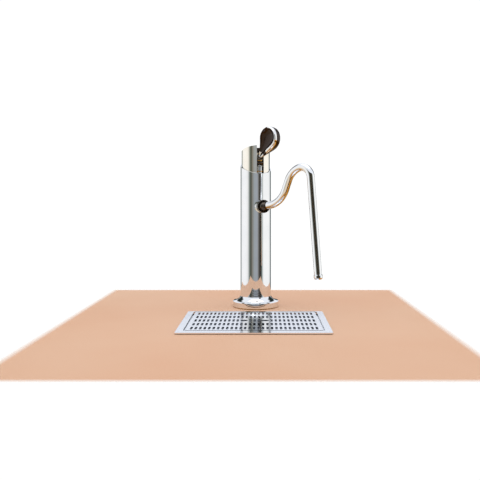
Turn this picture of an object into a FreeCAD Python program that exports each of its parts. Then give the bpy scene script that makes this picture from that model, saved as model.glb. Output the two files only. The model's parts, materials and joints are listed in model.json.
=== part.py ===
"""Counter-mounted steam and hot water tap with a recessed drip tray.

The origin is on the tower's axis, on the worktop's top face. +Z is up and the user stands at -Y.
The tower is turned about Z, so its pieces are drawn with their front at -Y and then turned.
"""

import FreeCAD, Part
import math
import os

import Sketcher

Vector = FreeCAD.Vector
Rotation = FreeCAD.Rotation
Placement = FreeCAD.Placement

DRIVING_SIZES = {
    # tower
    "tower_turn": 20.0,
    "flange_radius": 38.1,
    "flange_rim_top": 9.4,
    "flange_top": 18.0,
    "flare_arc": 15.0,
    "rim_round": 1.6,
    "web_top": 5.0,
    "gasket_radius": 36.0,
    "gasket_thickness": 2.0,
    "column_radius": 25.4,
    "column_wall": 1.5,
    "lip_middle": 232.0,
    "lip_slope": 22.8,
    "foot_height": 12.0,
    "block_radius": 23.5,
    "block_bottom": 150.0,
    "block_top": 212.0,
    "spigot_radius": 15.0,
    "spigot_height": 5.0,
    "cap_middle": 260.7,
    "cap_slope": 17.0,
    "slot_width": 12.0,
    "slot_depth": 12.0,
    "slot_bottom": 222.0,
    "clamp_screw_height": 185.0,
    "clamp_screw_radius": 2.0,
    "cap_screw_height": 214.6,
    "cap_screw_radius": 1.5,
    # lever and valve
    "pivot_forward": 16.2,
    "pivot_height": 239.5,
    "pin_radius": 1.5,
    "pin_reach": 11.0,
    "running_gap": 0.03,
    "cam_radius": 5.0,
    "cam_forward": 1.81,
    "cam_rise": 0.75,
    "cam_width": 9.0,
    "valve_forward": 18.0,
    "guide_radius": 4.8,
    "guide_top": 233.5,
    "guide_bottom": 203.0,
    "stem_radius": 2.2,
    "stem_top": 235.2,
    "chamber_radius": 3.6,
    "seat_bottom": 190.0,
    "seat_height": 3.0,
    "knuckle_radius": 4.5,
    "knuckle_top": 245.0,
    "neck_radius": 2.8,
    "neck_top": 249.0,
    "paddle_radius": 18.0,
    "paddle_back": 11.5,
    "paddle_rim": 6.5,
    "dish_radius": 15.2,
    "dish_floor": 1.0,
    # ball joint
    "joint_height": 167.5,
    "joint_reach": 37.0,
    "boss_radius": 10.7,
    "ball_radius": 7.75,
    "ball_gap": 0.05,
    "ball_neck": 3.6,
    "ball_bore": 1.9,
    "seat_radius": 8.5,
    # wand
    "wand_radius": 6.0,
    "wand_bore": 5.0,
    "inner_tube_radius": 3.0,
    "inner_tube_bore": 2.0,
    "socket_start": 8.0,
    "tube_start": 11.0,
    "socket_end": 13.6,
    "neck_run_end": 14.0,
    "rise_start": 8.0,
    "rise_heading": 68.0,
    "crest_heading": 20.0,
    "fall_heading": -84.8,
    "first_bend": 40.0,
    "second_bend": 33.0,
    "third_bend": 17.0,
    "rise_run": 15.5,
    "crest_run": 1.0,
    "fall_run": 134.5,
    "nozzle_length": 21.0,
    "nozzle_ring": 6.75,
    # under the worktop
    "worktop": 27.0,
    "shank_radius": 17.0,
    "shank_bore": 13.0,
    "shank_end": 70.0,
    "washer_radius": 30.0,
    "supply_radius": 4.0,
    "supply_side": 5.0,
    "supply_back": 4.0,
    # tray
    "tray_width": 211.0,
    "tray_depth": 155.0,
    "tray_back": -61.0,
    "tray_lip_top": 2.5,
    "tray_lip_bottom": 0.8,
    "opening_width": 192.0,
    "opening_depth": 138.0,
    "opening_shift": 4.5,
    "ledge_height": -1.5,
    "basin_width": 178.0,
    "basin_depth": 124.0,
    "basin_floor": -26.0,
    "sheet": 1.2,
    "grate_width": 187.0,
    "grate_depth": 133.0,
    "grate_thickness": 1.2,
    "slit_width": 3.4,
    "slit_length": 17.0,
    "slit_pitch": 6.15,
    "row_pitch": 26.2,
    "finger_radius": 5.5,
    "drain_radius": 12.0,
    "drain_length": 45.0,
    "hose_radius": 11.0,
    "hose_length": 30.0,
    "nipple_radius": 8.33,
    "nipple_length": 15.0,
}
SLITS_ACROSS = 29
SLIT_ROWS = 5
CLAMP_SCREW_SIDES = (-35.0, 35.0)  # from the tower's back
NUT_FLATS = {"shank": 50.0, "supply": 14.0, "inlet": 19.0, "drain": 36.0}
BEYOND = 40.0  # past the widest piece of the tower, for cuts that go right through
WAND_TURN = 50.0  # from the user's direction towards +X
DISH_FACING = 43.8  # the dish's normal, from the user's direction towards -X
PADDLE_CENTRE = Vector(22.8, -34.0, 279.0)
# level sections of the swan neck in the paddle's frame: height, middle across, middle in depth,
# half width and half thickness
NECK_SECTIONS = [
    (-30.0, -23.8, -0.9, 2.9, 2.7),
    (-26.5, -17.2, -0.4, 7.3, 2.6),
    (-22.0, -10.5, -0.6, 11.0, 3.8),
    (-12.0, -1.0, -3.5, 11.5, 4.6),
]


class Size:
    """A length with the expression that binds it to the sheet."""

    def __init__(self, value, text):
        self.value = value
        self.text = text

    def joined(self, other, sign, value):
        words = other.text if isinstance(other, Size) else repr(float(other))
        return Size(value, f"({self.text} {sign} {words})")

    def __add__(self, other):
        return self.joined(other, "+", self.value + number(other))

    def __sub__(self, other):
        return self.joined(other, "-", self.value - number(other))

    def __mul__(self, other):
        return self.joined(other, "*", self.value * number(other))

    def __truediv__(self, other):
        return self.joined(other, "/", self.value / number(other))

    def __neg__(self):
        return Size(-self.value, f"(-1 * {self.text})")


def number(size):
    return size.value if isinstance(size, Size) else float(size)


doc = FreeCAD.newDocument("CounterTap")
sheet = doc.addObject("Spreadsheet::Sheet", "Sizes")


class Sizes:
    """Every driving size as an attribute."""


of = Sizes()
for row, (alias, value) in enumerate(DRIVING_SIZES.items(), start=1):
    sheet.set(f"A{row}", alias)
    sheet.set(f"B{row}", str(value))
    sheet.setAlias(f"B{row}", alias)
    setattr(of, alias, Size(value, f"Sizes.{alias}"))
doc.recompute()

nodes = []


# ---------------------------------------------------------------- drawing helpers


def bind(thing, prop, size):
    """Set a property, and tie it to the sheet when its size comes from there."""
    if isinstance(size, Size):
        thing.setExpression(prop, size.text)
    else:
        setattr(thing, prop, size)


def finished(thing, name, place=None):
    """Name a sub-part, put it in its place and list it for export."""
    thing.Label = name
    if place is not None:
        thing.Placement = place
    nodes.append(thing)
    return thing


def new_body(name):
    return doc.addObject("PartDesign::Body", f"{name}_body")


def new_sketch(body, role, height=0.0):
    """An empty sketch on one of the body's own planes, raised along the plane's normal."""
    sketch = body.newObject("Sketcher::SketchObject", "outline")
    plane = [item for item in body.Origin.OriginFeatures if item.Role == role][0]
    sketch.AttachmentSupport = [(plane, "")]
    sketch.MapMode = "FlatFace"
    if isinstance(height, Size):
        sketch.setExpression("AttachmentOffset.Base.z", height.text)
    else:
        sketch.AttachmentOffset = Placement(Vector(0, 0, height), Rotation())
    return sketch


def fix(sketch, kind, *places, size):
    """Add a dimension and tie it to the sheet."""
    index = sketch.addConstraint(Sketcher.Constraint(kind, *places, number(size)))
    if isinstance(size, Size):
        sketch.setExpression(f"Constraints[{index}]", size.text)


def pin_point(sketch, edge, end, x, y):
    fix(sketch, "DistanceX", -1, 1, edge, end, size=x)
    fix(sketch, "DistanceY", -1, 1, edge, end, size=y)


def draw_outline(sketch, points):
    """A closed outline. A point (x, y, radius) starts an arc to the next point: a positive radius
    bulges to the right of the way there, and a negative one to the left."""
    places = [Vector(number(p[0]), number(p[1]), 0) for p in points]
    count = len(points)
    heads = []
    for i, point in enumerate(points):
        start, end = places[i], places[(i + 1) % count]
        if len(point) == 2:
            edge = sketch.addGeometry(Part.LineSegment(start, end), False)
            heads.append((edge, 1, 2))
            continue
        radius = number(point[2])
        way = end - start
        right = Vector(way.y, -way.x, 0).normalize()
        deep = abs(radius) - math.sqrt(radius**2 - (way.Length / 2) ** 2)
        middle = (start + end) * 0.5 + right * math.copysign(deep, radius)
        arc = Part.Arc(start, middle, end)
        edge = sketch.addGeometry(arc, False)
        begins = 1 if radius > 0 else 2
        heads.append((edge, begins, 3 - begins))
    for i, (edge, first, last) in enumerate(heads):
        following, begin, _ = heads[(i + 1) % count]
        sketch.addConstraint(Sketcher.Constraint("Coincident", edge, last, following, begin))
        pin_point(sketch, edge, first, points[i][0], points[i][1])
        if len(points[i]) == 3:
            radius = points[i][2]
            fix(sketch, "Radius", edge, size=radius if number(radius) > 0 else -radius)


def draw_circle(sketch, x, y, radius):
    spot = Vector(number(x), number(y), 0)
    edge = sketch.addGeometry(Part.Circle(spot, Vector(0, 0, 1), number(radius)), False)
    pin_point(sketch, edge, 3, x, y)
    fix(sketch, "Radius", edge, size=radius)


def draw_panel(sketch, width, depth, corner, middle_y=0.0):
    """A rectangle with round corners, centred on x = 0."""
    east = width / 2 if isinstance(width, Size) else Size(width / 2, repr(width / 2))
    north = depth / 2 + middle_y
    south = -(depth / 2) + middle_y
    draw_outline(
        sketch,
        [
            (-east + corner, south),
            (east - corner, south, corner),
            (east, south + corner),
            (east, north - corner, corner),
            (east - corner, north),
            (-east + corner, north, corner),
            (-east, north - corner),
            (-east, south + corner, corner),
        ],
    )


def revolved(name, points):
    """A body of revolution about its own Z, from an outline of (radius, height) points."""
    body = new_body(name)
    sketch = new_sketch(body, "XZ_Plane")
    draw_outline(sketch, points)
    spin = body.newObject("PartDesign::Revolution", "spin")
    spin.Profile = sketch
    spin.ReferenceAxis = (sketch, ["V_Axis"])
    spin.Angle = 360
    return body


def turned(name, points, place=None):
    return finished(revolved(name, points), name, place)


def ring(name, inner, outer, bottom, top, place=None):
    return turned(name, [(inner, bottom), (outer, bottom), (outer, top), (inner, top)], place)


def add_pad(body, sketch, length):
    pad = body.newObject("PartDesign::Pad", "pad")
    pad.Profile = sketch
    bind(pad, "Length", length)
    return pad


def add_pocket(body, sketch, length, both_ways=False, upward=False):
    pocket = body.newObject("PartDesign::Pocket", "pocket")
    pocket.Profile = sketch
    pocket.Midplane = both_ways
    pocket.Reversed = upward
    bind(pocket, "Length", length)
    return pocket


def rod(x, y, bottom, top, radius):
    """An upright cylinder, for booleans."""
    piece = doc.addObject("Part::Cylinder", "rod")
    bind(piece, "Radius", radius)
    bind(piece, "Height", top - bottom)
    piece.Placement = Placement(Vector(number(x), number(y), number(bottom)), Rotation())
    return piece


def bar(start, end, radius):
    """A cylinder from one point to another, for booleans."""
    piece = doc.addObject("Part::Cylinder", "bar")
    way = end - start
    bind(piece, "Radius", radius)
    piece.Height = way.Length
    piece.Placement = Placement(start, Rotation(Vector(0, 0, 1), way))
    return piece


def hexagon(x, y, bottom, height, across_flats):
    piece = doc.addObject("Part::Prism", "hexagon")
    piece.Polygon = 6
    bind(piece, "Circumradius", across_flats / 2 / math.cos(math.pi / 6))
    bind(piece, "Height", height)
    piece.Placement = Placement(Vector(number(x), number(y), number(bottom)), Rotation())
    return piece


def joined(pieces):
    fuse = doc.addObject("Part::MultiFuse", "joined")
    fuse.Shapes = pieces
    return fuse


def cut(base, tools):
    """Cut the tools away one after another."""
    for tool in tools:
        result = doc.addObject("Part::Cut", "cut")
        result.Base = base
        result.Tool = tool
        base = result
    return result


# ---------------------------------------------------------------- frames

TOWER = Placement(Vector(), Rotation(Vector(0, 0, 1), of.tower_turn.value))
FRONT = TOWER.multVec(Vector(0, -1, 0))
BALL_CENTRE = FRONT * of.joint_reach.value + Vector(0, 0, of.joint_height.value)
# the ball joint's frame has its Z along the boss, away from the tower
JOINT = Placement(BALL_CENTRE, TOWER.Rotation * Rotation(Vector(1, 0, 0), 90))
# the wand's frame has its X outwards in the wand's upright plane
WAND = Placement(BALL_CENTRE, Rotation(Vector(0, 0, 1), WAND_TURN - 90))
# the paddle's frame has its Z out of the dish and its Y up
PADDLE = Placement(
    PADDLE_CENTRE,
    Rotation(Vector(0, 0, 1), -DISH_FACING) * Rotation(Vector(1, 0, 0), 90),
)


def wand_frame(along, height, heading):
    """A frame in the wand's plane with its Z along a heading in degrees above the level."""
    spot = WAND.multVec(Vector(along, 0, height))
    return Placement(spot, WAND.Rotation * Rotation(Vector(0, 1, 0), 90 - heading))


# ---------------------------------------------------------------- base and column


def make_base():
    inner = of.shank_radius + 0.3
    turned(
        "base_flange",
        [
            (inner, of.gasket_thickness),
            (of.gasket_radius + 0.2, of.gasket_thickness),
            (of.gasket_radius + 0.2, 0.2),
            (of.flange_radius - of.rim_round, 0.2, of.rim_round),
            (of.flange_radius, of.rim_round + 0.2),
            (of.flange_radius, of.flange_rim_top, -of.flare_arc),
            (of.column_radius, of.flange_top),
            (of.column_radius, of.web_top),
            (inner, of.web_top),
        ],
        TOWER,
    )
    ring("base_gasket", of.shank_radius + 1.0, of.gasket_radius, 0.0, of.gasket_thickness, TOWER)
    foot_radius = of.column_radius - of.column_wall
    ring("column_foot", of.shank_radius, foot_radius, of.web_top, of.web_top + of.foot_height, TOWER)


def make_slant(body, middle, degrees, rises_to_front, reach):
    """Cut a body's top with a slanted plane through the axis at the height middle."""
    fall = reach * math.tan(math.radians(degrees.value))
    sign = 1 if rises_to_front else -1
    sketch = new_sketch(body, "YZ_Plane")
    draw_outline(
        sketch,
        [
            (-reach, middle + sign * fall),
            (reach, middle - sign * fall),
            (reach, middle + reach),
            (-reach, middle + reach),
        ],
    )
    return add_pocket(body, sketch, 2 * reach, both_ways=True)


def make_column():
    body = new_body("column_tube")
    sketch = new_sketch(body, "XY_Plane", of.web_top)
    draw_circle(sketch, 0.0, 0.0, of.column_radius)
    draw_circle(sketch, 0.0, 0.0, of.column_radius - of.column_wall)
    add_pad(body, sketch, of.lip_middle + 15.0 - of.web_top)
    doc.recompute()
    make_slant(body, of.lip_middle, of.lip_slope, False, BEYOND)
    doc.recompute()
    hole = new_sketch(body, "XZ_Plane")
    draw_circle(hole, 0.0, of.joint_height, of.boss_radius + 0.05)
    add_pocket(body, hole, BEYOND, upward=True)
    doc.recompute()
    finished(cut(body, clamp_screws(BEYOND, of.clamp_screw_radius + 0.2)), "column_tube", TOWER)


def radial(side, height, inner, outer, radius):
    """A level cylinder that points away from the tower's axis, at an angle from its back."""
    way = Rotation(Vector(0, 0, 1), side).multVec(Vector(0, 1, 0))
    lift = Vector(0, 0, height.value)
    return bar(way * inner + lift, way * outer + lift, radius)


def clamp_screws(outer, radius):
    return [radial(side, of.clamp_screw_height, 18.6, outer, radius) for side in CLAMP_SCREW_SIDES]


def cap_screw(outer):
    return radial(0.0, of.cap_screw_height, 14.0, outer, of.cap_screw_radius)


def make_set_screws():
    screws = clamp_screws(of.column_radius.value - 0.8, of.clamp_screw_radius)
    screws.append(cap_screw(of.block_radius.value - 0.3))
    finished(joined(screws), "set_screws", TOWER)


# ---------------------------------------------------------------- head and valve


def make_head_cap():
    body = new_body("head_cap")
    sketch = new_sketch(body, "XY_Plane", of.block_top)
    draw_circle(sketch, 0.0, 0.0, of.block_radius)
    add_pad(body, sketch, of.cap_middle + 15.0 - of.block_top)
    doc.recompute()
    make_slant(body, of.cap_middle, of.cap_slope, True, BEYOND)
    doc.recompute()
    slot = new_sketch(body, "XZ_Plane", of.block_radius - of.slot_depth)
    half = of.slot_width / 2
    top = of.cap_middle + 20.0
    draw_outline(slot, [(-half, of.slot_bottom), (half, of.slot_bottom), (half, top), (-half, top)])
    add_pocket(body, slot, BEYOND, upward=True)
    doc.recompute()
    pivot = Vector(0, -of.pivot_forward.value, of.pivot_height.value)
    side = Vector(of.pin_reach.value, 0, 0)
    tools = [
        rod(0.0, 0.0, of.block_top - 1.0, of.block_top + of.spigot_height, of.spigot_radius),
        rod(0.0, 4.0, of.block_top, of.slot_bottom + 28.0, 11.0),
        rod(0.0, -of.valve_forward, of.block_top - 1.0, of.slot_bottom + 1.0, of.guide_radius),
        bar(pivot - side, pivot + side, of.pin_radius),
        cap_screw(BEYOND),
    ]
    finished(cut(body, tools), "head_cap", TOWER)
    pin = bar(pivot - side, pivot + side, of.pin_radius)
    finished(pin, "lever_pin", TOWER.multiply(pin.Placement))


def make_valve_block():
    back = -of.valve_forward.value
    outlet = Vector(-3.0, -8.0, 0)
    supply = Vector(of.supply_side.value, of.supply_back.value, 0)
    inlet_height = Vector(0, 0, 184.0)
    outlet_height = Vector(0, 0, of.seat_bottom.value + 4.4)
    valve = Vector(0, back, 0)
    joint = Vector(0, 0, of.joint_height.value)
    solid = joined(
        [
            rod(0.0, 0.0, of.block_bottom, of.block_top, of.block_radius),
            rod(0.0, 0.0, of.block_top - 1.0, of.block_top + of.spigot_height, of.spigot_radius),
        ]
    )
    tools = [
        rod(0.0, back, of.guide_bottom, of.block_top + 10.0, of.guide_radius),
        rod(0.0, back, of.seat_bottom, of.guide_bottom + 1.0, of.stem_radius + of.running_gap),
        rod(0.0, back, of.guide_bottom - 4.0, of.guide_bottom - 2.4, of.stem_radius + 1.2),
        rod(0.0, back, of.seat_bottom - 10.0, of.seat_bottom + 6.0, of.chamber_radius),
        bar(joint + Vector(0, -20.0, 0), joint + Vector(0, -30.0, 0), of.boss_radius + 0.05),
        bar(joint + Vector(0, -19.1, 0), joint + Vector(0, -21.0, 0), 9.6),
        bar(joint + Vector(0, -12.0, 0), joint + Vector(0, -30.0, 0), 8.0),
        bar(joint + Vector(0, -6.0, 0), joint + Vector(0, -13.0, 0), 2.5),
        bar(outlet + joint, outlet + outlet_height, 1.4),
        bar(outlet + outlet_height, valve + outlet_height, 1.2),
        rod(supply.x, supply.y, of.block_bottom - 1.0, of.block_bottom + 6.0, of.supply_radius),
        rod(supply.x, supply.y, of.block_bottom, of.block_bottom + 35.0, of.supply_radius - 1.0),
        bar(supply + inlet_height, valve + inlet_height, 1.5),
        cap_screw(BEYOND),
    ]
    finished(cut(solid, tools + clamp_screws(BEYOND, of.clamp_screw_radius)), "valve_block", TOWER)


def valve_frame(height=0.0):
    return TOWER.multiply(Placement(Vector(0, -of.valve_forward.value, height), Rotation()))


def make_valve():
    chamber_top = of.guide_bottom + 17.0
    bore = of.stem_radius + of.running_gap
    turned(
        "valve_guide",
        [
            (of.guide_radius - 1.0, of.guide_bottom),
            (of.guide_radius, of.guide_bottom),
            (of.guide_radius, of.guide_top - 0.6),
            (of.guide_radius - 0.6, of.guide_top),
            (bore, of.guide_top),
            (bore, chamber_top),
            (of.guide_radius - 1.0, chamber_top),
        ],
        valve_frame(),
    )
    ring("guide_ring", of.guide_radius, of.guide_radius + 0.6, 224.2, 225.6, valve_frame())
    groove = of.guide_bottom - 4.0
    ring("stem_seal", of.stem_radius, of.stem_radius + 1.2, groove, groove + 1.6, valve_frame())
    seat_top = of.seat_bottom + of.seat_height
    ring("valve_seat", of.stem_radius + 0.5, of.chamber_radius, of.seat_bottom, seat_top, valve_frame())
    collar = chamber_top - 2.0
    turned(
        "valve_stem",
        [
            (0.0, of.seat_bottom - 3.0),
            (3.0, of.seat_bottom - 3.0),
            (3.0, of.seat_bottom - 1.2),
            (1.2, of.seat_bottom - 1.2),
            (1.2, of.seat_bottom + 6.2),
            (of.stem_radius, of.seat_bottom + 7.2),
            (of.stem_radius, collar),
            (3.4, collar),
            (3.4, chamber_top),
            (of.stem_radius, chamber_top),
            (of.stem_radius, of.stem_top),
            (0.0, of.stem_top),
        ],
        valve_frame(),
    )
    ring("poppet_disc", 1.2, 3.3, of.seat_bottom - 1.2, of.seat_bottom, valve_frame())
    make_spring(collar - of.guide_bottom)


def make_spring(length):
    body = new_body("return_spring")
    wire = 0.35
    sketch = new_sketch(body, "XZ_Plane")
    draw_circle(sketch, 2.95, wire, wire)
    coil = body.newObject("PartDesign::AdditiveHelix", "coil")
    coil.Profile = sketch
    coil.ReferenceAxis = (sketch, ["V_Axis"])
    coil.Mode = "height-turns-growth"
    bind(coil, "Height", length - 2 * wire)
    coil.Turns = 7
    finished(body, "return_spring", valve_frame(of.guide_bottom.value))


# ---------------------------------------------------------------- lever


def make_knuckle():
    pivot = Vector(0, -of.pivot_forward.value, of.pivot_height.value)
    centre = pivot + Vector(0, -of.cam_forward.value, of.cam_rise.value)
    half = Vector(of.cam_width.value / 2, 0, 0)
    side = Vector(8.0, 0, 0)
    waist = of.knuckle_radius - 0.5
    low = of.pivot_height + 2.2
    post = revolved(
        "lever_knuckle",
        [
            (0.0, of.pivot_height),
            (of.knuckle_radius, of.pivot_height),
            (of.knuckle_radius, low),
            (waist, low),
            (waist, low + 1.8),
            (of.knuckle_radius, low + 1.8),
            (of.knuckle_radius, of.knuckle_top),
            (of.knuckle_radius - 0.6, of.knuckle_top + 0.6),
            (of.neck_radius, of.neck_top - 1.0),
            (of.neck_radius, of.neck_top),
            (0.0, of.neck_top),
        ],
    )
    post.Placement = Placement(Vector(0, -of.valve_forward.value, 0), Rotation())
    groove = cut(
        rod(0.0, -of.valve_forward, low, low + 1.8, 9.0),
        [rod(0.0, -of.valve_forward, low - 1.0, low + 3.0, waist)],
    )
    cam = cut(bar(centre - half, centre + half, of.cam_radius), [groove])
    hole = bar(pivot - side, pivot + side, of.pin_radius + of.running_gap)
    finished(cut(joined([post, cam]), [hole]), "lever_knuckle", TOWER)
    ring("lever_collar", waist, of.knuckle_radius + 0.3, low, low + 1.8, valve_frame())


def make_paddle():
    body = new_body("lever_paddle")
    sketch = new_sketch(body, "XZ_Plane")
    edge = of.paddle_radius
    deep = of.paddle_rim + of.dish_floor
    dish = (of.dish_radius * of.dish_radius + deep * deep) / (deep * 2)
    draw_outline(
        sketch,
        [
            (0.0, -of.paddle_back),
            (edge - 6.0, -of.paddle_back, 7.0),
            (edge, -of.paddle_back + 6.0),
            (edge, of.paddle_rim - 3.5, 3.8),
            (of.dish_radius, of.paddle_rim, -dish),
            (0.0, -of.dish_floor),
        ],
    )
    disc = body.newObject("PartDesign::Revolution", "disc")
    disc.Profile = sketch
    disc.ReferenceAxis = (sketch, ["V_Axis"])
    disc.Angle = 360
    doc.recompute()
    sections = []
    for height, across, deep, half, thick in NECK_SECTIONS:
        bulge = (half**2 + thick**2) / (2 * thick)
        section = new_sketch(body, "XZ_Plane", -height)
        draw_outline(section, [(across - half, deep, bulge), (across + half, deep, bulge)])
        sections.append(section)
    neck = body.newObject("PartDesign::AdditiveLoft", "swan_neck")
    neck.Profile = sections[0]
    neck.Sections = sections[1:]
    finished(body, "lever_paddle", PADDLE)


# ---------------------------------------------------------------- ball joint


def make_ball_joint():
    chamber = of.seat_radius + 0.1
    turned(
        "joint_housing",
        [
            (2.5, -25.0),
            (8.0, -25.0),
            (8.0, -17.0),
            (of.boss_radius, -17.0),
            (of.boss_radius, -4.0),
            (of.boss_radius - 1.1, -4.0),
            (of.boss_radius - 1.1, -1.6),
            (chamber, -1.6),
            (chamber, -10.7),
            (2.5, -10.7),
        ],
        JOINT,
    )
    ring("joint_seal", 8.0, 9.6, -17.9, -17.0, JOINT)
    ring("seat_spring", 4.5, of.seat_radius, -10.7, -9.5, JOINT)
    seat = of.ball_radius + of.ball_gap
    inner, outer = 3.0, 6.4
    turned(
        "rear_seat",
        [
            (inner, -9.5),
            (of.seat_radius, -9.5),
            (of.seat_radius, -sphere_height(seat, outer)),
            (outer, -sphere_height(seat, outer), -seat),
            (inner, -sphere_height(seat, inner)),
        ],
        JOINT,
    )
    low, high = -1.5, 1.9
    turned(
        "front_seat",
        [
            (sphere_height(seat, low), low),
            (of.seat_radius, low),
            (of.seat_radius, high),
            (sphere_height(seat, high), high, -seat),
        ],
        JOINT,
    )
    make_joint_nut(chamber)
    neck_low = sphere_height(of.ball_radius, of.ball_neck.value)
    turned(
        "swivel_ball",
        [
            (of.ball_bore, -sphere_height(of.ball_radius, of.ball_bore.value), of.ball_radius),
            (of.ball_neck, neck_low),
            (of.ball_neck, of.socket_end - 1.0),
            (of.ball_bore, of.socket_end - 1.0),
        ],
        wand_frame(0, 0, of.rise_start.value),
    )


def sphere_height(radius, across):
    """The height of a sphere's surface over its middle, at a distance from its axis."""
    return math.sqrt(number(radius) ** 2 - across**2)


def make_joint_nut(chamber):
    face = 3.0
    outline = [
        (of.boss_radius - 1.1, -4.0),
        (of.boss_radius, -4.0),
        (of.boss_radius, face - 0.5),
        (of.boss_radius - 0.5, face),
    ]
    for radius in (9.7, 8.7):
        outline += [(radius, face), (radius - 0.1, face - 0.4), (radius - 0.4, face - 0.4), (radius - 0.5, face)]
    outline += [(7.4, face), (7.65, 1.9), (chamber, 1.9), (chamber, -1.6), (of.boss_radius - 1.1, -1.6)]
    turned("joint_nut", outline, JOINT)


# ---------------------------------------------------------------- wand


def wand_runs(start, end_trim=0.0):
    """The wand's straight runs as (length, heading), from a distance along the ball's neck."""
    return [
        (of.neck_run_end - start, of.rise_start),
        (of.rise_run, of.rise_heading),
        (of.crest_run, of.crest_heading),
        (of.fall_run + end_trim, of.fall_heading),
    ]


def wand_bends():
    return [of.first_bend, of.second_bend, of.third_bend]


def walk(start, runs, bends):
    """The corners of a path of runs joined by tangent arcs: (kind, start, end) for each stretch."""
    heading = math.radians(number(runs[0][1]))
    along = Vector(math.cos(heading), math.sin(heading), 0)
    spot = along * start
    stretches = []
    for i, (length, _) in enumerate(runs):
        along = Vector(math.cos(heading), math.sin(heading), 0)
        end = spot + along * number(length)
        stretches.append(("run", spot, end, None))
        spot = end
        if i == len(bends):
            break
        following = math.radians(number(runs[i + 1][1]))
        turn = following - heading
        left = Vector(-along.y, along.x, 0) * math.copysign(number(bends[i]), turn)
        centre = spot + left
        middle = centre + Rotation(Vector(0, 0, 1), math.degrees(turn / 2)).multVec(-left)
        end = centre + Rotation(Vector(0, 0, 1), math.degrees(turn)).multVec(-left)
        stretches.append(("bend", spot, end, middle))
        spot = end
        heading = following
    return stretches


def draw_path(sketch, start, runs, bends):
    """Draw the path, with every run's length and heading and every bend's radius tied to the sheet."""
    ends = []
    for index, (kind, first, last, middle) in enumerate(walk(start, runs, bends)):
        if kind == "run":
            length, heading = runs[index // 2]
            edge = sketch.addGeometry(Part.LineSegment(first, last), False)
            ends.append((edge, 1, 2))
            fix(sketch, "Distance", edge, 1, edge, 2, size=length)
            turn = sketch.addConstraint(
                Sketcher.Constraint("Angle", edge, math.radians(heading.value))
            )
            sketch.setExpression(f"Constraints[{turn}]", heading.text)
        else:
            edge = sketch.addGeometry(Part.Arc(first, middle, last), False)
            leftward = (middle - first).cross(last - first).z > 0
            ends.append((edge, 1, 2) if leftward else (edge, 2, 1))
            fix(sketch, "Radius", edge, size=bends[index // 2])
    for (edge, _, last), (following, first, _) in zip(ends, ends[1:]):
        sketch.addConstraint(Sketcher.Constraint("Tangent", edge, last, following, first))
    heading = math.radians(runs[0][1].value)
    sketch.addConstraint(
        Sketcher.Constraint("DistanceX", -1, 1, 0, 1, number(start) * math.cos(heading))
    )
    sketch.addConstraint(
        Sketcher.Constraint("DistanceY", -1, 1, 0, 1, number(start) * math.sin(heading))
    )


def bent_tube(name, start, runs, outer, inner):
    body = new_body(name)
    spine = new_sketch(body, "XZ_Plane")
    draw_path(spine, number(start), runs, wand_bends())
    doc.recompute()
    section = body.newObject("Sketcher::SketchObject", "section")
    section.AttachmentSupport = [(spine, "Edge1")]
    section.MapMode = "NormalToEdge"
    section.MapPathParameter = 0
    draw_circle(section, 0.0, 0.0, outer)
    draw_circle(section, 0.0, 0.0, inner)
    doc.recompute()
    pipe = body.newObject("PartDesign::AdditivePipe", "pipe")
    pipe.Profile = section
    pipe.Spine = (spine, [f"Edge{i + 1}" for i in range(spine.GeometryCount)])
    finished(body, name, WAND)


def make_wand():
    first = of.socket_start
    bore = of.ball_neck + of.running_gap
    turned(
        "wand_socket",
        [
            (bore, first),
            (of.wand_radius - 1.6, first, 2.4),
            (of.wand_radius, first + 2.0),
            (of.wand_radius, of.tube_start),
            (of.wand_bore, of.tube_start),
            (of.wand_bore, of.socket_end),
            (of.inner_tube_bore, of.socket_end),
            (of.inner_tube_bore, of.socket_end - 0.8),
            (bore, of.socket_end - 0.8),
        ],
        wand_frame(0, 0, of.rise_start.value),
    )
    bent_tube("wand_tube", of.tube_start, wand_runs(of.tube_start), of.wand_radius, of.wand_bore)
    inner_runs = wand_runs(of.socket_end, end_trim=-3.0)
    bent_tube("wand_inner_tube", of.socket_end, inner_runs, of.inner_tube_radius, of.inner_tube_bore)
    make_nozzle()


def make_nozzle():
    tube_end = walk(number(of.tube_start), wand_runs(of.tube_start), wand_bends())[-1][2]
    place = wand_frame(tube_end.x, tube_end.y, of.fall_heading.value)
    length = of.nozzle_length
    turned(
        "nozzle",
        [
            (of.inner_tube_radius, -8.0),
            (of.wand_bore, -8.0),
            (of.wand_bore, -5.6),
            (of.wand_bore - 0.8, -5.6),
            (of.wand_bore - 0.8, -4.4),
            (of.wand_bore, -4.4),
            (of.wand_bore, 0.0),
            (of.wand_radius, 0.0),
            (of.wand_radius, length - 7.6),
            (of.nozzle_ring, length - 6.4),
            (of.nozzle_ring, length - 3.4, 3.4),
            (of.nozzle_ring - 2.2, length),
            (1.2, length),
            (1.2, length - 6.0),
            (of.inner_tube_bore, length - 7.0),
            (of.inner_tube_bore, -3.0),
            (of.inner_tube_radius, -3.0),
        ],
        place,
    )
    ring("nozzle_seal", of.wand_bore - 0.8, of.wand_bore, -5.6, -4.4, place)


# ---------------------------------------------------------------- under the worktop


def make_clamp():
    low = -of.worktop
    ring("shank", of.shank_bore, of.shank_radius, -of.shank_end, of.web_top + of.foot_height - 2.0, TOWER)
    ring("rubber_washer", of.shank_radius + 0.4, of.washer_radius, low - 3.0, low, TOWER)
    ring("steel_washer", of.shank_radius + 0.4, of.washer_radius, low - 5.0, low - 3.0, TOWER)
    nut = cut(
        hexagon(0.0, 0.0, low - 17.0, 12.0, NUT_FLATS["shank"]),
        [rod(0.0, 0.0, low - 18.0, low - 4.0, of.shank_radius)],
    )
    finished(nut, "shank_nut", TOWER)


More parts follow.
